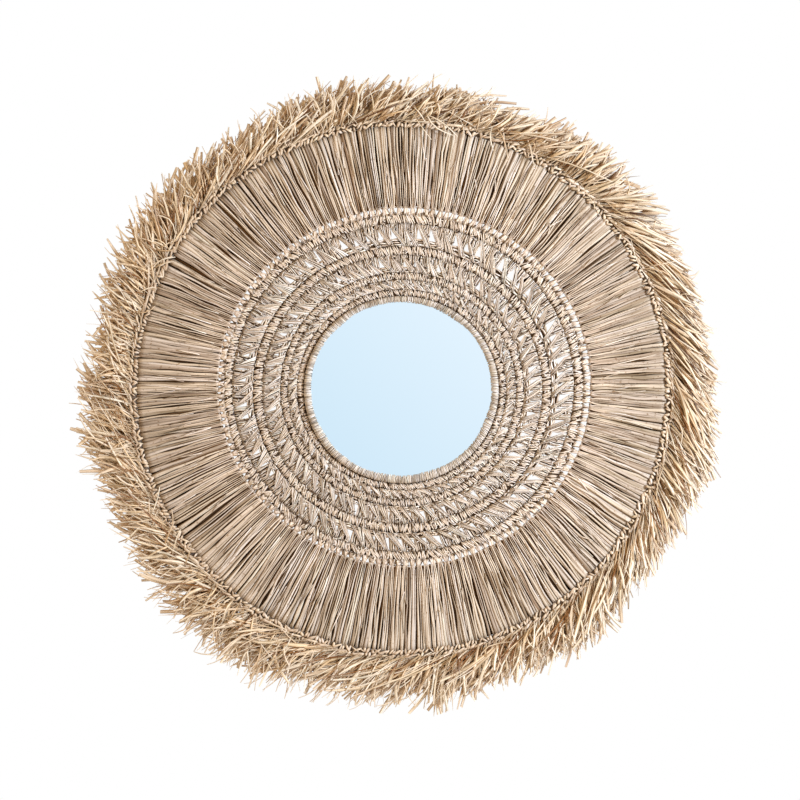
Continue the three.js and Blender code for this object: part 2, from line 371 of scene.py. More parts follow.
def dark_shade_and_pale(rng, shape, share):
    """Columns for thin ends of which a share is dark, as painted shade between strands, and the others are
    pale.
    """
    dark = tones(rng, shape, 0.0, 0.15)
    pale = tones(rng, shape, 0.6, 0.95)
    return np.where(rng.random(dark.shape) < share, dark, pale)


def flat(values, like):
    """Broadcasts values to a grid of strands and lays all its strands in one row."""
    return np.broadcast_to(values, like).reshape(-1, like[-1])


def lines(angle, radius, depth):
    """Paths through grids of angle, radius and depth whose last axis is the stations."""
    points = place(angle, radius, depth)
    return points.reshape(-1, *points.shape[-2:])


def spaced(rng, count, jitter):
    """Angles at even pitches round the mirror, each shifted by up to a share of a pitch."""
    return TURN * (np.arange(count) + rng.uniform(-jitter, jitter, count))[:, None] / count


def between(ends, share):
    """Value at a share of the way between two ends."""
    return ends[0] + (ends[1] - ends[0]) * share


def rim_parts():
    """A round core wrapped with raffia, the core dark as painted shade between the turns. Each turn of the
    wrapping runs from the glass over the crown and down the outer side, thickness outward, a little out of
    line with the next."""
    rng = np.random.default_rng(11)
    count = 440
    each = (count, 1)
    angle = spaced(rng, count, 0.2)
    lean = rng.normal(0.004, 0.004, each) * np.linspace(-1.0, 1.0, 7)
    bulge = waves(angle, ((0.0004, 5, 30), (0.0003, 9, 75), (0.0003, 14, 10)))
    bulge = bulge + rng.normal(0.0, 0.00025, each)
    inward = np.array((1.0, 1.0, 0.8, 0.2, 0.0, 0.0, 0.0))
    radius = WRAP_RADIUS - inward * bulge
    depth = WRAP_DEPTH + rng.normal(0.0, 0.0003, each) * np.array((0, 0.5, 1, 1, 1, 0.5, 0))
    path = place(angle + lean, radius, depth)
    core = place(angle + lean, *WRAP_MIDDLE)
    width = rng.uniform(0.00068, 0.00100, each)
    turns = strands(path, width, 0.0005, PENTAGON, tones(rng, count, 0.35, 0.92), facing=path - core)
    # The core ring, dark as painted shade that shows between the turns.
    profile = (
        (0.1114, 0.0148), (0.1168, 0.0148), (0.1168, RIM_BACK), (0.1180, RIM_BACK),
        (0.1180, 0.0168), (0.1163, 0.0184), (0.1138, 0.0184), (0.1116, 0.0168),
    )
    return [turns, ring(profile, 160, PAINTED_SHADE_COLUMN)]


def crochet_depth(lift, side):
    """Depth of a crochet strand that stands so far proud of the band's middle, on its front or its back."""
    return CROCHET_MIDDLE + lift if side > 0 else CROCHET_MIDDLE - BACK_RELIEF * lift


def row_layout(rng, row):
    """Place of each stitch of a row in pitches, offset of its sail's foot and height of its hole's point.
    The front and the back of the band share it, so that the holes go through."""
    count, closed, foot_low, foot_high = row[3:]
    base = (np.arange(count) + rng.uniform(-0.12, 0.12, count))[:, None, None]
    snug = closeness(TURN * np.arange(count) / count)
    shut = rng.random(count) < closed + 0.45 * (1.0 - closed) * snug
    foot = rng.uniform(foot_low, foot_high, count) - 0.16 * snug
    foot = np.where(shut, rng.uniform(0.25, 0.5, count), foot)[:, None, None]
    tip = rng.uniform(0.66, 0.92, count)[:, None, None]
    return base, foot, tip


def open_row(rng, row, layout, side):
    """The open part of a crochet row. Every stitch has a sail of strands that leans across by about a pitch
    and meets in a point, a curtain of strands that hangs behind the sail's right edge, bars under the hole,
    short loose ends, a share of them dark as painted shade, and a dark sheet behind that is painted shade.
    Offsets are shares of the stitch pitch, clockwise, and stations are shares of the row's height."""
    start, close, _, count = row[:4]
    base, foot, tip = layout
    sails, hangs, bars = (7, 6, 3) if side > 0 else (4, 3, 2)
    pitch = TURN / count
    height = close - start
    parts = []

    def edge(share, station):
        """Offset of a strand of the sail at a station, from its left edge, share 0, to its right one."""
        low = foot + (1.36 - foot) * share
        apex = 0.03 + 0.22 * share
        top = -0.06 + 0.42 * share
        lower = np.clip(station / tip, -0.1, 1.0)
        upper = ease((station - tip) / (1.0 - tip))
        return low + (apex - low) * lower + (top - apex) * upper

    def lay(offset, station, lift, width, thick, column):
        """Adds strands given by their offset, station and lift."""
        angle = pitch * (base + offset)
        radius = start + height * station
        depth = crochet_depth(lift, side)
        shape = np.broadcast_shapes(np.shape(angle), np.shape(radius), np.shape(depth))
        path = lines(angle, radius, depth)
        parts.append(strands(path, flat(width, shape), thick, LENS, column, facing=side * FRONT))

    # The sail.
    share = np.linspace(0.0, 1.0, sails)[None, :, None]
    station = np.array((0.02, 0.25, 0.5, 0.7, 0.84, 0.985))
    offset = edge(share, station) + rng.normal(0.0, 0.025, (count, sails, 1))
    offset = offset + rng.normal(0.0, 0.012, (count, sails, 6))
    gap = np.abs(edge(1.0, station) - edge(0.0, station)) / (sails - 1)
    width = np.maximum(0.46 * gap * pitch * start, 0.0004) * rng.uniform(0.7, 1.15, (count, sails, 1))
    lift = 0.0006 + 0.0028 * hump(np.clip(station, 0.03, 0.97)) ** 0.7
    lift = lift + 0.0010 * rng.random((count, sails, 1)) + 0.0006 * share
    lay(offset, station, lift, width, 0.0006, tones(rng, (count, sails), 0.36, 1.0))

    # The curtain, whose strands start where the sail's right edge, from offset 1.36 to 0.25, passes them.
    top = np.linspace(0.42, 0.98, hangs)[None, :, None]
    foot_station = np.maximum(tip * (1.36 - top) / 1.11 - 0.08, 0.02)
    run = np.linspace(0.0, 1.0, 5)
    station_hang = foot_station + (0.985 - foot_station) * run
    offset = top + 0.05 * (1.0 - run) + rng.normal(0.0, 0.03, (count, hangs, 1))
    offset = offset + rng.normal(0.0, 0.02, (count, hangs, 5))
    lift = 0.0002 + 0.0018 * hump(np.clip(run, 0.05, 0.95)) + 0.0008 * rng.random((count, hangs, 1))
    width = 0.26 / hangs * pitch * start * rng.uniform(0.7, 1.15, (count, hangs, 1))
    lay(offset, station_hang, lift, width, 0.0006, tones(rng, (count, hangs), 0.3, 1.0))

    # The bars, from the sail before to this one.
    low = np.linspace(0.06, 0.28, bars)[None, :, None] + rng.normal(0.0, 0.02, (count, bars, 1))
    run = np.linspace(0.0, 1.0, 4)
    left = edge(1.0, low) - 1.08
    right = edge(0.0, low) + 0.05
    offset = left + (right - left) * run
    sag = 0.04 * hump(run) * rng.uniform(-1.0, 1.0, (count, bars, 1))
    sag = sag + 0.05 * rng.normal(0.0, 1.0, (count, bars, 1)) * (run - 0.5)
    lift = 0.0004 + 0.0012 * hump(run) + 0.0006 * rng.random((count, bars, 1))
    width = rng.uniform(0.0007, 0.0014, (count, bars, 1))
    lay(offset, low + sag, lift, width, 0.0006, tones(rng, (count, bars), 0.4, 1.0))
    if side < 0:
        return parts

    # Painted shade: a dark sheet behind the sail, the curtain and the bars.
    left, right = edge(0.0, station), edge(1.0, station)
    width = np.maximum(0.5 * (right - left) * pitch * start - 0.0002, 0.0004)
    lay((left + right) / 2, station, 0.0001, width, 0.0002, PAINTED_SHADE_COLUMN)
    width = np.maximum(0.5 * (1.0 - right) * pitch * start + 0.0005, 0.0004)
    lay((right + 1.0) / 2, station, -0.0005, width, 0.0002, PAINTED_SHADE_COLUMN)
    left = edge(1.0, 0.15) - 1.05
    right = edge(0.0, 0.15) + 0.03
    lay(left + (right - left) * run, 0.145, -0.0005, 0.15 * height, 0.0002, PAINTED_SHADE_COLUMN)

    # The loose ends, of which a share is dark as painted shade between strands.
    loose = 11
    each = (count, loose, 1)
    station = rng.uniform(0.0, 1.0, each)
    share = rng.uniform(0.05, 2.2, each)
    offset = edge(0.0, station) + (edge(1.0, station) - edge(0.0, station)) * share
    offset = np.where(station > 0.25, np.minimum(offset, 1.0), offset)
    half = rng.uniform(0.0008, 0.0028, each)
    tilt = rng.normal(0.4, 0.9, each)
    run = np.linspace(-1.0, 1.0, 3)
    offset = offset + half * np.sin(tilt) * run / (pitch * start)
    station = np.clip(station + half * np.cos(tilt) * run / height, 0.03, 0.97)
    lift = 0.0026 + 0.0014 * rng.random(each) + 0.0006 * (1.0 - run ** 2)
    width = rng.uniform(0.0003, 0.0007, each)
    lay(offset, station, lift, width, 0.0004, dark_shade_and_pale(rng, (count, loose), 0.42))
    return parts


def close_row(rng, row, side):
    """A row of close stitches between two radii: two to each pitch, each a low pad of slanted strands that is
    pinched at its ends, with short ends lying over it, a share of them dark as painted shade, on a dark ring
    that is painted shade."""
    close, finish, count = row
    count = 2 * count
    strand_count = 5 if side > 0 else 2
    each = (count, strand_count, 1)
    pitch = TURN / count
    base = pitch * (np.arange(count) + rng.uniform(-0.1, 0.1, count))[:, None, None]
    share = np.linspace(-0.36, 0.36, strand_count)[None, :, None]
    run = np.linspace(0.0, 1.0, 4)
    bulge = hump(np.clip(run, 0.05, 0.95)) ** 0.6
    slant = rng.normal(-0.35, 0.25, (count, 1, 1)) + rng.normal(0.0, 0.25, each)
    offset = share * (0.82 + 0.18 * bulge) + slant * (run - 0.5)
    offset = offset + rng.normal(0.0, 0.05, each)
    inner = close + 0.0001 + rng.normal(0.0, 0.0007, each)
    outer = finish - 0.0006 + rng.normal(0.0, 0.0007, each)
    radius = inner + (outer - inner) * run
    lift = 0.0008 + 0.0012 * bulge + 0.0014 * rng.random(each)
    path = lines(base + pitch * offset, radius, crochet_depth(lift, side))
    width = (0.56 / strand_count) * pitch * close * rng.uniform(0.75, 1.2, each)
    width = width * (0.6 + 0.4 * bulge)
    shade = tones(rng, (count, strand_count), 0.44, 0.83)
    pads = strands(path, width.reshape(-1, 4), 0.0006, LENS, shade, facing=side * FRONT)
    if side < 0:
        return [pads]
    # Painted shade: a dark ring under the pads, for the shade between the rows.
    low, high = close - 0.0012, finish + 0.0005
    back, front = CROCHET_MIDDLE - 0.0004, CROCHET_MIDDLE + 0.0002
    shade_ring = ring(((low, back), (high, back), (high, front), (low, front)), 180, PAINTED_SHADE_COLUMN)

    # Short ends over the pads, a share of them dark as painted shade.
    ends = 3 * count
    each = (ends, 1)
    half = rng.uniform(0.0010, 0.0024, each)
    tilt = rng.normal(0.5, 0.8, each)
    run = np.linspace(-1.0, 1.0, 3)
    radius = rng.uniform(close, finish, each) + half * np.cos(tilt) * run
    radius = np.clip(radius, close - 0.0003, finish - 0.0007)
    angle = rng.uniform(0.0, TURN, each) + half * np.sin(tilt) * run / close
    lift = 0.0024 + 0.0010 * rng.random(each) + 0.0005 * (1.0 - run ** 2)
    path = place(angle, radius, CROCHET_MIDDLE + lift)
    width = rng.uniform(0.0003, 0.0007, each)
    over = strands(path, width, 0.0004, LENS, dark_shade_and_pale(rng, ends, 0.4))
    return [pads, shade_ring, over]


def eyelet_parts(rng, side):
    """Posts of three strands that narrow outward from the last crochet row, so the gaps between them are
    small wedges, a cord of short loops across their ends, and thin ends in the points of the wedges, most of
    them dark as painted shade."""
    pitch = TURN / EYELETS
    each = (EYELETS, 3, 1)
    base = pitch * (np.arange(EYELETS) + EYELET_SHIFT)[:, None, None]
    share = np.array((-1.0, 0.0, 1.0))[None, :, None]
    run = np.linspace(0.0, 1.0, 4)
    sway = rng.normal(0.0, 0.04, each) + rng.normal(0.0, 0.08, (EYELETS, 1, 1)) * run
    offset = share * (0.37 - 0.28 * run ** 0.6) + sway
    inner = EYELET_INNER - rng.uniform(0.0004, 0.0026, each)
    end = eyelet_end(base) + rng.normal(0.0, 0.0007, (EYELETS, 1, 1))
    radius = inner + (end - inner) * run
    lift = 0.0010 + 0.0012 * hump(0.1 + 0.8 * run) + 0.0006 * rng.random(each)
    path = lines(base + pitch * offset, radius, crochet_depth(lift, side))
    snug = 1.0 + 0.4 * closeness(base) + waves(base, ((0.15, 2, 20), (0.12, 7, 30)))
    snug = snug * rng.uniform(0.75, 1.75, (EYELETS, 1, 1))
    width = (0.0014 - 0.0005 * run ** 0.6) * snug * rng.uniform(0.75, 1.25, each)
    shade = tones(rng, (EYELETS, 3), 0.36, 0.76)
    posts = strands(path, width.reshape(-1, 4), 0.0007, LENS, shade, facing=side * FRONT)
    run = np.linspace(-1.0, 1.0, 4)
    arch = 1.0 - run ** 2
    angle = base[:, :, 0] + pitch * (0.6 * run)
    radius = end[:, :, 0] + 0.0006 + 0.0008 * arch
    path = place(angle, radius, crochet_depth(0.0004 + 0.0006 * arch, side))
    loops = strands(path, 0.0007, 0.0005, LENS, tones(rng, EYELETS, 0.2, 0.6), facing=side * FRONT)
    if side < 0:
        return [posts, loops]

    # Thin ends in the points of the wedges, three in four dark as painted shade.
    ends = 2 * EYELETS
    each = (ends, 1)
    run = np.linspace(0.0, 1.0, 3)
    angle = pitch * (np.repeat(np.arange(EYELETS), 2) + EYELET_SHIFT + rng.normal(0.5, 0.13, ends))[:, None]
    angle = angle + pitch * rng.normal(0.0, 0.12, each) * run
    radius = EYELET_INNER - 0.0030 + rng.uniform(0.0, 0.0020, each)
    radius = radius + rng.uniform(0.0025, 0.0050, each) * run
    path = place(angle, radius, CROCHET_MIDDLE + 0.0038 + 0.0004 * hump(run))
    width = rng.uniform(0.0004, 0.0007, each)
    points = strands(path, width, 0.0004, LENS, dark_shade_and_pale(rng, ends, 0.75))
    return [posts, loops, points]


def crochet_parts():
    """Strands of the crochet band: each open row, the close rows with the eyelets, and the whole back."""
    rng = np.random.default_rng(23)
    layouts = [row_layout(rng, row) for row in CROCHET_ROWS]
    open_rows, close_rows, back = [], [], []
    for row, layout in zip(CROCHET_ROWS, layouts):
        open_rows.append(open_row(rng, row, layout, 1))
        close_rows += close_row(rng, row[1:4], 1)
        back += open_row(rng, row, layout, -1)
        back += close_row(rng, row[1:4], -1)
    close_rows += close_row(rng, FIRST_ROW, 1)
    back += close_row(rng, FIRST_ROW, -1)
    close_rows += eyelet_parts(rng, 1)
    back += eyelet_parts(rng, -1)
    return open_rows, close_rows, back


def straw_radius(angle, gap, run):
    """Radius along straws that start a gap past the eyelets and end at the border."""
    start = eyelet_end(angle) + gap
    return start + (STRAW_OUTER - start) * run


def front_straws(rng):
    """Straws laid side by side from the eyelets out to the border, four to a post. They fan out of the
    post, then run on nearly straight with small leans and waves. Each straw narrows somewhere along its
    run, more at the top and bottom of the mirror than at its sides, which opens long dark slits over the
    straws below, which are darker as painted shade."""
    count = EYELETS * STRAWS_PER_EYELET
    each = (count, 1)
    pitch = TURN / EYELETS
    run = np.array((0.0, 0.03, 0.065, 0.15, 0.25, 0.36, 0.48, 0.60, 0.72, 0.84, 0.93, 1.0))
    number = np.arange(count)[:, None]
    eyelet = number // STRAWS_PER_EYELET
    post = pitch * (eyelet + EYELET_SHIFT)
    share = (number % STRAWS_PER_EYELET - 1.5) / STRAWS_PER_EYELET
    spread = 0.66 + 0.34 * ease(run / 0.1)
    lean = rng.normal(0.0, 0.055, each) + waves(post, ((0.06, 9, 20), (0.05, 23, 5), (0.06, 41, 3)))
    bundle = rng.normal(0.0, 0.03, EYELETS)[eyelet]
    ripple = rng.normal(0.0, 0.055, each) * hump(run)
    wave = rng.normal(0.0, 0.05, each) * np.sin(TURN * (run * 1.8 + rng.random(each)))
    offset = share * spread + (lean + bundle) * ease(run) + (ripple + wave * ease(run / 0.2))
    radius = straw_radius(post, -0.0006, run)
    depth = FACE_DEPTH + 0.0010 * hump(run) + 0.0014 * ease((run - 0.6) / 0.4)
    depth = depth + rng.uniform(-0.0010, 0.0014, each)
    path = place(post + pitch * offset, radius, depth)

    crosswise = 0.15 + 0.6 * (1.0 - np.sin(post) ** 4) + 0.3 * closeness(post)
    open_share = 0.75 * crosswise * rng.beta(1.3, 1.1, each)
    middle_of_slit = rng.uniform(-0.05, 1.0, each) * (0.4 + 0.35 * crosswise)
    slit = np.exp(-(((run - middle_of_slit) / rng.uniform(0.1, 0.32, each)) ** 2))
    fill = rng.uniform(0.27, 0.67, each) * (1.0 - open_share * slit)
    fill = fill * (1.0 + 0.34 * ease((run - 0.6) / 0.36)) * (1.5 - 0.5 * crosswise)
    width = TURN * radius / count * fill * (0.62 + 0.38 * ease(run / 0.24))
    thick = rng.uniform(0.0007, 0.0011, each)
    # Painted light and shade: the straws' tone is raised at the top and bottom of the mirror and lowered at
    # its sides, with a slight tilt toward 35 degrees, to even out the light round the band.
    painted_light_paleness = (0.22 * crosswise - 0.098 + 0.02 * np.cos(post - np.radians(35.0)))[:, 0]
    plain = tones(rng, count, 0.49 + painted_light_paleness, 0.74 + painted_light_paleness)
    shade = np.where(rng.random(count) < 0.1, tones(rng, count, 0.28, 0.56), plain)
    return strands(path, width, thick, PENTAGON, shade, roll=rng.normal(0.0, 0.2, each))


def slit_shade_straws(rng):
    """Thin straws that show in the slits, a little out of line with the front, dark as painted shade."""
    count = 520
    each = (count, 1)
    run = np.linspace(0.0, 1.0, 6)
    angle = spaced(rng, count, 0.5)
    angle = angle + rng.normal(0.0, 0.004, each) * run
    angle = angle + rng.normal(0.0, 0.0015, each) * hump(run)
    depth = SLIT_DEPTH + rng.uniform(-0.0003, 0.0005, each)
    width = rng.uniform(0.0006, 0.0012, each) * (0.8 + 0.4 * run)
    path = place(angle, straw_radius(angle, 0.002, run), depth)
    return strands(path, width, 0.0006, LENS, tones(rng, count, 0.0, 0.3))


def loose_straws(rng):
    """Thin straws of any length that lie over the front, each a little askew and bowed."""
    count = 260
    each = (count, 1)
    run = np.linspace(0.0, 1.0, 6)
    first = rng.uniform(0.02, 0.6, each)
    length = np.minimum(rng.uniform(0.15, 0.8, each), 1.0 - first)
    angle = rng.uniform(0.0, TURN, each) + rng.normal(0.0, 0.014, each) * (run - 0.5)
    angle = angle + rng.normal(0.0, 0.003, each) * hump(run)
    depth = LOOSE_DEPTH + 0.0010 * hump(run) + rng.uniform(0.0, 0.0006, each)
    width = rng.uniform(0.0004, 0.0009, each) * (0.5 + 0.5 * hump(0.15 + 0.7 * run))
    path = place(angle, straw_radius(angle, 0.004, first + length * run), depth)
    return strands(path, width, 0.0005, LENS, tones(rng, count, 0.35, 1.0))


def shade_straws(rng):
    """Broad straws that close the band behind the slits, dark as painted shade."""
    count = 420
    run = np.linspace(0.0, 1.0, 4)
    angle = spaced(rng, count, 0.2)
    depth = SHADE_DEPTH + rng.uniform(-0.0002, 0.0002, (count, 1))
    path = place(angle, straw_radius(angle, 0.0022, run), depth)
    return strands(path, 0.0026 + 0.0008 * run, 0.0004, LENS, tones(rng, count, 0.0, 0.2))


def rear_straws(rng):
    """The plainer back of the straw band."""
    count = 507
    run = np.linspace(0.0, 1.0, 4)
    angle = spaced(rng, count, 0.3) + rng.normal(0.0, 0.004, (count, 1)) * run
    depth = REAR_DEPTH + rng.uniform(-0.0003, 0.0003, (count, 1))
    path = place(angle, straw_radius(angle, 0.0010, run), depth)
    return strands(path, 0.0015 + 0.0006 * run, 0.0008, LENS, tones(rng, count, 0.3, 0.8), facing=BACK)


def straw_parts():
    """All the layers of the straw band."""
    rng = np.random.default_rng(31)
    return [layer(rng) for layer in (front_straws, slit_shade_straws, loose_straws, shade_straws, rear_straws)]


def border_parts():
    """A knotted edge over a core that is dark as painted shade: a row of short fat strands that slant each
    their own way, a looser row laid along the outer side, and a plainer row on the back."""
    rng = np.random.default_rng(47)
    run = np.linspace(0.0, 1.0, 5)
    bulge = hump(0.06 + 0.88 * run) ** 0.7
    parts = []
    for count, middle, reach_out, slant, rough in KNOT_ROWS:
        pitch = TURN / count
        base = spaced(rng, count, 0.3)
        tilt = slant + rough * rng.normal(0.0, 1.0, (count, 1))
        wander = waves(base, ((0.0006, 6, 20), (0.0005, 13, 50), (0.0005, 29, 7)))
        length = reach_out * rng.uniform(0.5, 1.2, (count, 1))
        radius = middle + wander + length * (run - 0.5) + rng.normal(0.0, 0.0006, (count, 1))
        angle = base + pitch * tilt * (run - 0.5)
        depth = KNOT_DEPTH + 0.0030 * bulge + rng.uniform(-0.0010, 0.0010, (count, 1))
        width = rng.uniform(0.0010, 0.0023, (count, 1)) * (0.5 + 0.5 * bulge)
        shade = tones(rng, count, 0.42, 0.78)
        parts.append(strands(place(angle, radius, depth), width, 0.0011, PENTAGON, shade))
    count = 300
    angle = spaced(rng, count, 0.15) + TURN / count * 0.9 * (run - 0.5)
    depth = BORDER_BACK + 0.0018 - 0.0010 * bulge
    path = place(angle, 0.3292 + 0.0090 * run, depth)
    parts.append(strands(path, 0.0026, 0.0010, LENS, tones(rng, count, 0.25, 0.8), facing=BACK))
    # The core ring, dark as painted shade under the knots.
    back = BORDER_BACK + 0.0016
    core = ((CORE_INNER, back), (CORE_OUTER, back), (CORE_OUTER, CORE_FRONT), (CORE_INNER, CORE_FRONT))
    parts.append(ring(core, 240, PAINTED_SHADE_COLUMN))
    return parts


def fringe_lean(angle):
    """Lean of the fringe's roots from the radial direction, clockwise going outward, in radians."""
    table = np.array(FRINGE_LEAN, float)
    around = np.degrees(angle) % 360.0
    return np.radians(np.interp(around, table[:, 0], table[:, 1], period=360.0))


def fringe_blades(rng, count, root, rise, fall, shares, width, tone, loose, swept):
    """Blades that leave the border at the lean of their place and straighten toward the radial direction.
    Each path is the sum of short steps whose lean eases from the root's to the tip's, with a bend aside in
    the outer half, scaled so that the tip ends at its share of the way to the fringe's outline. Neighbours
    draw together into locks toward their tips. The depth rises from the root by one height and then changes
    by another toward the tip. Swept blades lean further over than their place does. On the combed side they
    lie straighter and more alike."""
    run = np.array((0.0, 0.18, 0.4, 0.62, 0.82, 1.0))
    each = (count, 1)
    base = spaced(rng, count, 0.5)[:, 0]
    lock = np.floor(base / TURN * LOCKS).astype(int) % LOCKS
    lock_lean = rng.normal(0.0, 0.2, LOCKS)[lock]
    combed = np.clip(np.cos(base - np.radians(COMBED_SIDE)), 0.0, 1.0) ** 2
    lock_turn = (lock + 0.5 + rng.uniform(-0.3, 0.3, LOCKS)[lock]) * TURN / LOCKS
    lock_reach = rng.normal(0.0, 0.0055, LOCKS)[lock]
    lock_lift = rng.normal(0.0, 0.35, LOCKS)[lock]
    lean = fringe_lean(base) + (lock_lean + rng.normal(swept, loose, count)) * (1.0 - 0.75 * combed)
    lean = np.clip(lean, -0.7, 1.3)[:, None]
    tip_lean = (0.75 + 0.2 * combed)[:, None] * lean
    tip_lean = tip_lean + rng.normal(0.0, 0.9 * loose, each) * (1.0 - 0.75 * combed)[:, None]
    kink = rng.normal(0.0, 0.3, each) * (1.0 - 0.6 * combed)[:, None] * ease((run - 0.45) / 0.3)
    bend = np.clip(lean + (tip_lean - lean) * ease(run * 0.9) + kink, -1.1, 1.3)
    start = (BORDER_OUTER - 0.006 + rng.uniform(0.0, 0.006, count))[:, None]
    grow = np.diff(run)
    steps = (np.cos(bend[:, 1:]) + np.cos(bend[:, :-1])) / 2 * grow
    turns = (np.sin(bend[:, 1:]) + np.sin(bend[:, :-1])) / 2 * grow
    out = np.concatenate((np.zeros(each), np.cumsum(steps, 1)), 1)
    across = np.concatenate((np.zeros(each), np.cumsum(turns, 1)), 1)
    share = rng.uniform(*shares, count)
    share = share + (1.0 - share) * 0.55 * combed * (share < 1.0)
    landing = base + 0.05 * np.sin(lean[:, 0])
    edge = FRINGE_REACH + waves(landing, FRINGE_WAVES) + lock_reach
    goal = start[:, 0] + (edge - start[:, 0]) * share
    length = np.minimum((goal - start[:, 0]) / out[:, -1], LONGEST_BLADE)[:, None]
    radius = start + length * out
    angle = base[:, None] + length * across / radius
    pull = (lock_turn - base + np.pi) % TURN - np.pi
    angle = angle + 0.5 * pull[:, None] * run ** 1.5
    angle = angle + rng.normal(0.0, 0.005, each) * hump(run)
    lift = np.clip(rng.normal(0.5, 0.25, count) + 0.3 * lock_lift, 0.0, 1.0)[:, None]
    depth = between(root, rng.random(each))
    depth = depth + between(rise, lift) * ease(run / 0.6) * (1.0 - 0.45 * combed)[:, None]
    depth = depth + between(fall, rng.random(each)) * ease((run - 0.35) / 0.65)
    depth = np.clip(depth, FRINGE_BACK + 0.002, FRINGE_FRONT + 0.002)
    taper = np.where(rng.random(each) < 0.65, rng.uniform(0.15, 0.5, each), 0.85)
    swell = (0.45 + 0.55 * ease(run / 0.4)) * (1.0 - taper * np.clip((run - 0.6) / 0.4, 0.0, 1.0) ** 1.6)
    half_width = between(width, rng.beta(1.2, 1.6, each)) * swell * (1.0 + 0.1 * combed)[:, None]
    roll = rng.normal(0.0, 0.6, each) + rng.normal(0.0, 0.7, each) * run
    roll = roll * (1.0 - 0.5 * combed)[:, None]
    path = place(angle, radius, depth)
    # Painted light and shade: blades are darker on the combed side and toward 55 degrees, and paler opposite,
    # to even out the light from the right.
    painted_light_shift = 0.06 - 0.06 * combed + waves(base, ((-0.09, 1, 55), (-0.02, 2, 0)))
    shade = tones(rng, count, tone[0] + painted_light_shift, tone[1] + 0.6 * painted_light_shift)
    return strands(path, half_width, 0.45 * half_width, BLADE, shade, roll=roll)


def fringe_strays(rng, count, centre, spread, start, length, lean, loose, width):
    """Thin loose blades: gently bowed paths of a given length that start at a radius around one angle and run
    at their own lean from the radial direction, past a right angle where they turn back over the straws.
    None ends more than a little past the fringe's outline."""
    run = np.linspace(0.0, 1.0, 6)
    each = (count, 1)
    base = np.radians(centre) + np.radians(spread) * rng.uniform(-1.0, 1.0, each)
    long = rng.uniform(*length, each)
    tilt = np.radians(lean + loose * rng.normal(0.0, 1.0, each))
    bow = 0.12 * rng.normal(0.0, 1.0, each) * hump(run)
    first = rng.uniform(*start, each)
    room = FRINGE_REACH + STRAY_REACH + waves(base, FRINGE_WAVES) - first
    long = np.where(np.cos(tilt) > 0.3, np.minimum(long, room / np.maximum(np.cos(tilt), 0.3)), long)
    bow = bow * long
    radius = first + long * np.cos(tilt) * run - bow * np.sin(tilt)
    angle = base + (long * np.sin(tilt) * run + bow * np.cos(tilt)) / radius
    depth = STRAY_DEPTH + rng.uniform(0.0, 0.007, each)
    depth = depth + rng.uniform(-0.001, 0.007, each) * hump(run)
    half_width = rng.uniform(*width, each) * (0.5 + 0.5 * hump(0.2 + 0.75 * run))
    path = place(angle, radius, depth)
    return strands(path, half_width, 0.35 * half_width, BLADE, tones(rng, count, 0.5, 1.0),
                   roll=rng.normal(0.0, 0.5, each))


def fringe_parts():
    """Blades of the fringe's three pieces: those behind, those under, and those over with the loose ones."""
    rng = np.random.default_rng(59)
    behind = [fringe_blades(rng, *group) for group in BLADES_BEHIND]
    under = [fringe_blades(rng, *group) for group in BLADES_UNDER]
    over = [fringe_blades(rng, *group) for group in BLADES_OVER]
    over += [fringe_strays(rng, *group) for group in STRAYS]
    return behind, under, over


def linear(colour):
    """Display colour in 0 to 255 as the linear colour of a shader."""
    share = np.array(colour) / 255.0
    low = share / 12.92
    high = ((share + 0.055) / 1.055) ** 2.4
    return (*np.where(share <= 0.04045, low, high), 1.0)


def node_adder(owner):
    """Empties the nodes of a material or a world, and gives a function that adds a node of a kind to them."""
    owner.use_nodes = True
    tree = owner.node_tree
    tree.nodes.clear()

    def add(kind, inputs, **settings):
        """A new node, with its settings made before its inputs, which are values or other nodes' outputs."""
        node = tree.nodes.new("ShaderNode" + kind)
        for name, value in settings.items():
            setattr(node, name, value)
        for name, value in inputs.items():
            if isinstance(value, bpy.types.NodeSocket):
                tree.links.new(value, node.inputs[name])
            else:
                node.inputs[name].default_value = value
        return node

    return add


def ramp(add, factor, colours):
    """Colour at a factor, between positions with a colour each."""
    node = add("ValToRGB", {"Fac": factor})
    elements = node.color_ramp.elements
    while len(elements) < len(colours):
        elements.new(0.5)
    for element, (position, colour) in zip(elements, colours):
        element.position = position
        element.color = colour
    return node.outputs["Color"]


def mix(add, factor, first, second, kind="MIX"):
    """Two colours mixed by a factor."""
    inputs = {"Factor": factor, "A": first, "B": second}
    return add("Mix", inputs, data_type="RGBA", blend_type=kind).outputs["Result"]


def surface(add, colour, roughness, others):
    """The shader of a material, with a colour, a roughness and other inputs."""
    shader = add("BsdfPrincipled", {"Base Color": colour, "Roughness": roughness, **others})
    add("OutputMaterial", {"Surface": shader.outputs["BSDF"]})


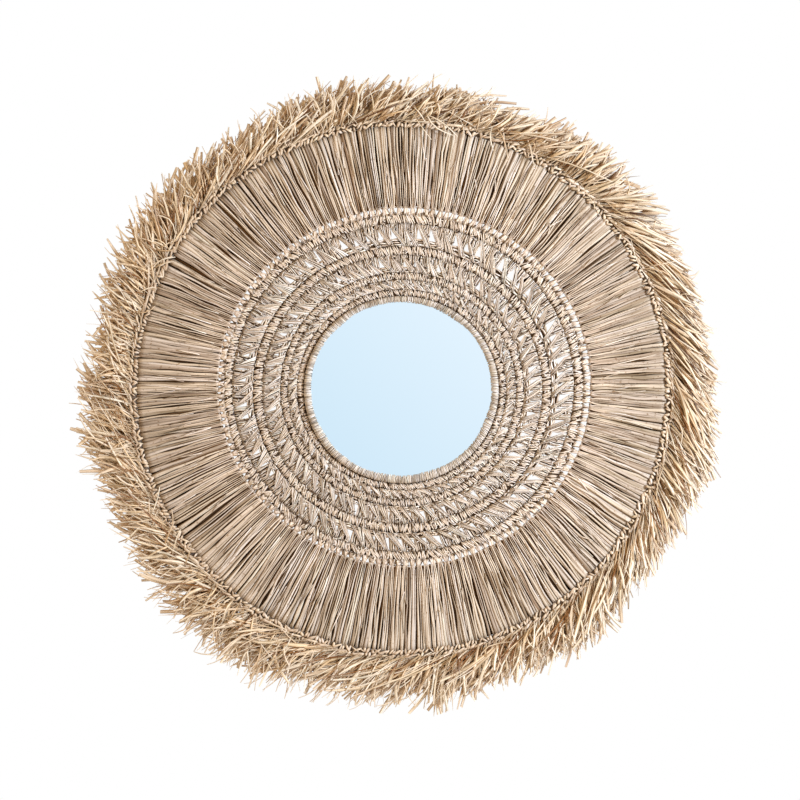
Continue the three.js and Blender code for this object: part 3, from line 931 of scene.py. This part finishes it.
def fibre_material(name, stops, tints, ends, roughness, flecks=0.36, bleach=0.0, streak=0.66, edge=0.6):
    """Dry plant fibre, coloured from the piece's own UV.
    The column picks the tone and a small tint, noise stretched along the strand draws its fibres, a finer
    noise adds dark flecks, painted shade makes the two edges of the strand darker than its middle, and V
    shades the strand from root to tip and may bleach the tip."""
    material = bpy.data.materials.new(name)
    add = node_adder(material)

    def calculate(operation, *values):
        """Result of a calculation on numbers or outputs."""
        return add("Math", dict(enumerate(values)), operation=operation).outputs[0]

    def shade(colour, factor, factors, amount=1.0):
        """A colour multiplied by a ramp of factors, to an amount."""
        opaque = [(position, (*value, 1.0)) for position, value in factors]
        return mix(add, amount, colour, ramp(add, factor, opaque), "MULTIPLY")

    coordinates = add("UVMap", {}, uv_map=UV_NAME)
    parts = add("SeparateXYZ", {"Vector": coordinates.outputs["UV"]})
    along = parts.outputs["Y"]
    across = calculate("MULTIPLY", parts.outputs["X"], float(COLUMNS))

    def noise(scale_along):
        """Noise drawn out along the strand."""
        scaled = {"X": calculate("MULTIPLY", across, 5.0), "Y": calculate("MULTIPLY", along, scale_along)}
        vector = add("CombineXYZ", scaled).outputs["Vector"]
        return add("TexNoise", {"Vector": vector, "Scale": 1.0, "Detail": 2.0}).outputs["Fac"]

    column = calculate("FLOOR", across)
    tone = calculate("DIVIDE", calculate("ADD", column, 0.5), float(COLUMNS))
    colour = ramp(add, tone, [(position, linear(value)) for position, value in stops])
    pick = add("TexWhiteNoise", {"W": column}, noise_dimensions="1D")
    colour = shade(colour, pick.outputs["Value"], tints)
    fibres = noise(2.5)
    dark_streak = (streak, 0.9 * streak, 0.73 * streak)
    streaks = ((0.34, dark_streak), (0.5, (0.96, 0.95, 0.93)), (0.62, (1.14, 1.14, 1.13)))
    colour = shade(colour, fibres, streaks, 0.9)
    specks = ((flecks - 0.08, (0.42, 0.28, 0.14)), (flecks, (1.0, 1.0, 1.0)))
    colour = shade(colour, noise(26.0), specks, 0.8)
    # Painted shade: the strand's two edges are darker than its middle, as if turned from the light.
    way_round = calculate("SUBTRACT", calculate("FRACT", across), U_MARGIN)
    round_side = calculate("FRACT", calculate("DIVIDE", way_round, U_SPAN / 2))
    side_shade = calculate("ABSOLUTE", calculate("SUBTRACT", round_side, 0.5))
    colour = shade(colour, side_shade, ((0.24, (1.0, 1.0, 1.0)), (0.5, (edge, 0.87 * edge, 0.65 * edge))))
    colour = shade(colour, along, ends)
    if bleach:
        fade = add("MapRange", {"Value": along, "From Min": 0.5, "To Max": bleach})
        colour = mix(add, fade.outputs["Result"], colour, linear((222, 204, 181)))
    bump = add("Bump", {"Strength": 0.25, "Distance": 0.0006, "Height": fibres})
    surface(add, colour, roughness, {"Specular IOR Level": 0.3, "Normal": bump.outputs["Normal"]})
    return material


def mirror_material():
    """Silvered glass with a faint blue that pales toward the upper right, both a painted reflection."""
    material = bpy.data.materials.new("silvered glass")
    add = node_adder(material)
    parts = add("SeparateXYZ", {"Vector": add("TexCoord", {}).outputs["Object"]})
    # Painted reflection: a blue gradient from the lower left to the upper right.
    total = add("Math", {0: parts.outputs["X"], 1: parts.outputs["Z"]}, operation="ADD")
    span = add("MapRange", {"Value": total.outputs[0], "From Min": -0.16, "From Max": 0.16})
    colour = mix(add, span.outputs["Result"], linear((209, 234, 250)), linear((226, 243, 255)))
    surface(add, colour, 0.03, {"Metallic": 1.0})
    return material


def board_material():
    """Brown pressed board with a fine mottle."""
    material = bpy.data.materials.new("pressed board")
    add = node_adder(material)
    point = add("TexCoord", {}).outputs["Object"]
    mottle = add("TexNoise", {"Vector": point, "Scale": 420.0, "Detail": 4.0})
    browns = ((0.3, linear((82, 60, 42))), (0.7, linear((118, 90, 64))))
    surface(add, ramp(add, mottle.outputs["Fac"], browns), 0.75, {})
    return material


def floor_material():
    """Plain pale floor."""
    material = bpy.data.materials.new("floor")
    surface(node_adder(material), (0.88, 0.88, 0.88, 1.0), 0.8, {})
    return material


def dress(node, material):
    """Gives a CAD node that keeps its shape a new material."""
    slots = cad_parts[node].data.materials
    slots.clear()
    slots.append(material)


def studio_floor():
    """A pale disc below the mirror."""
    turn = TURN * np.arange(FLOOR_SIDES) / FLOOR_SIDES
    level = np.full(FLOOR_SIDES, FLOOR_LEVEL)
    edge = np.stack((FLOOR_RADIUS * np.cos(turn), FLOOR_RADIUS * np.sin(turn), level), -1)
    mesh = bpy.data.meshes.new("floor")
    mesh.from_pydata(edge.tolist(), (), (tuple(range(FLOOR_SIDES)),))
    mesh.materials.append(floor_material())
    floor = bpy.data.objects.new("floor", mesh)
    bpy.context.scene.collection.objects.link(floor)


def studio_world():
    """White surroundings for the view and the reflections, and a dimmer, warmer light on matt surfaces."""
    world = bpy.data.worlds.new("studio")
    add = node_adder(world)
    matt = add("LightPath", {}).outputs["Is Diffuse Ray"]
    colour = mix(add, matt, (1.0, 1.0, 1.0, 1.0), (0.675, 0.55, 0.405, 1.0))
    background = add("Background", {"Color": colour})
    add("OutputWorld", {"Surface": background.outputs["Background"]})
    bpy.context.scene.world = world


def soft_light(name, where, size, power, colour):
    """Square soft light that faces the middle of the mirror."""
    lamp = bpy.data.lights.new(name, "AREA")
    lamp.size = size
    lamp.energy = power
    lamp.color = colour
    made = bpy.data.objects.new(name, lamp)
    made.location = where
    made.rotation_mode = "QUATERNION"
    made.rotation_quaternion = (-made.location).to_track_quat("-Z", "Y")
    bpy.context.scene.collection.objects.link(made)


def studio_camera():
    """Camera level with the mirror and straight in front of it."""
    data = bpy.data.cameras.new("camera")
    data.sensor_width = SENSOR_WIDTH
    data.lens = SENSOR_WIDTH * CAMERA_DISTANCE / VIEW_WIDTH
    camera = bpy.data.objects.new("camera", data)
    camera.location = (VIEW_ACROSS, -CAMERA_DISTANCE, VIEW_UP)
    camera.rotation_euler = (np.pi / 2, 0.0, 0.0)
    bpy.context.scene.collection.objects.link(camera)
    bpy.context.scene.camera = camera


# Tints of single strands, and shading from the root of a strand to its tip, as factors of its colour.
PALE_TINTS = (
    (0.0, (0.96, 0.97, 1.02)), (0.35, (1.02, 0.97, 0.94)),
    (0.7, (1.0, 0.95, 0.86)), (1.0, (0.96, 0.98, 0.95)),
)
GOLDEN_TINTS = (
    (0.0, (0.97, 0.99, 1.0)), (0.18, (1.0, 0.97, 0.92)), (0.34, (1.0, 0.83, 0.62)), (0.5, (1.0, 0.93, 0.88)),
    (0.66, (0.96, 0.92, 0.83)), (0.82, (1.0, 0.87, 0.76)), (1.0, (1.0, 0.98, 0.95)),
)
EVEN_ENDS = (
    (0.0, (0.92, 0.9, 0.88)), (0.15, (1.0, 1.0, 1.0)),
    (0.9, (1.0, 1.0, 1.0)), (1.0, (0.92, 0.9, 0.88)),
)
# Straws are paler toward their inner end; the darkening toward the outer end is painted shade beside the
# border.
STRAW_ENDS = (
    (0.0, (1.42, 1.42, 1.44)), (0.25, (1.17, 1.16, 1.15)),
    (0.6, (1.0, 0.98, 0.95)), (1.0, (0.81, 0.78, 0.735)),
)
# The darkening at the roots of the blades is painted shade where they leave the border under other blades.
FRINGE_ROOT_SHADE = (
    (0.0, (0.62, 0.56, 0.5)), (0.3, (0.92, 0.88, 0.84)),
    (0.65, (1.0, 0.985, 0.965)), (1.0, (1.0, 1.0, 1.0)),
)

whipping = fibre_material(
    "raffia whipping",
    ((0.0, (74, 52, 30)), (0.3, (150, 134, 116)), (0.6, (202, 187, 170)), (1.0, (238, 226, 212))),
    PALE_TINTS, EVEN_ENDS, 0.62,
)
crochet = fibre_material(
    "raffia crochet",
    ((0.0, (54, 32, 14)), (0.14, (96, 67, 34)), (0.35, (186, 164, 141)),
     (0.65, (238, 219, 199)), (1.0, (255, 248, 237))),
    PALE_TINTS, EVEN_ENDS, 0.64, flecks=0.4, edge=0.5,
)
straw = fibre_material(
    "raffia straw",
    ((0.0, (61, 36, 15)), (0.2, (119, 83, 44)), (0.45, (170, 148, 125)),
     (0.7, (212, 194, 174)), (1.0, (247, 234, 219))),
    PALE_TINTS, STRAW_ENDS, 0.6, flecks=0.38, streak=0.55, edge=0.5,
)
knots = fibre_material(
    "raffia knots",
    ((0.0, (60, 36, 14)), (0.3, (153, 125, 92)), (0.6, (216, 192, 164)), (1.0, (252, 236, 215))),
    PALE_TINTS, EVEN_ENDS, 0.62, edge=0.45,
)
fringe_fibre = fibre_material(
    "raffia fringe",
    ((0.0, (62, 31, 8)), (0.2, (146, 95, 42)), (0.45, (194, 162, 119)),
     (0.7, (229, 206, 174)), (1.0, (255, 244, 226))),
    GOLDEN_TINTS, FRINGE_ROOT_SHADE, 0.6, bleach=0.5, streak=0.5, edge=0.45,
)

make_piece("rim_wrapping", "mirror_rim", whipping, rim_parts())

open_rows, close_rows, back_rows = crochet_parts()
make_piece("crochet_inner_rows", "crochet_band", crochet, open_rows[0] + open_rows[1])
make_piece("crochet_outer_row", "crochet_band", crochet, open_rows[2])
make_piece("crochet_close_rows", "crochet_band", crochet, close_rows)
make_piece("crochet_back", "crochet_band", crochet, back_rows)

make_piece("straws", "straw_band", straw, straw_parts())
make_piece("border_knots", "knotted_border", knots, border_parts())

behind, under, over = fringe_parts()
make_piece("fringe_behind", "fringe", fringe_fibre, behind, smooth=False)
make_piece("fringe_under", "fringe", fringe_fibre, under, smooth=False)
make_piece("fringe_over", "fringe", fringe_fibre, over, smooth=False)

dress("mirror_glass", mirror_material())
dress("backing_board", board_material())

studio_floor()
studio_world()
soft_light("key", where=(1.45, -1.2, 0.35), size=0.4, power=49.0, colour=(0.785, 0.985, 1.28))
soft_light("fill", where=(-1.3, -1.3, 1.2), size=1.0, power=4.0, colour=(1.0, 0.85, 0.6))
soft_light("back", where=(-1.1, 1.9, 0.5), size=1.2, power=22.0, colour=(1.0, 0.98, 0.95))
studio_camera()
bpy.context.scene.view_settings.view_transform = "Standard"
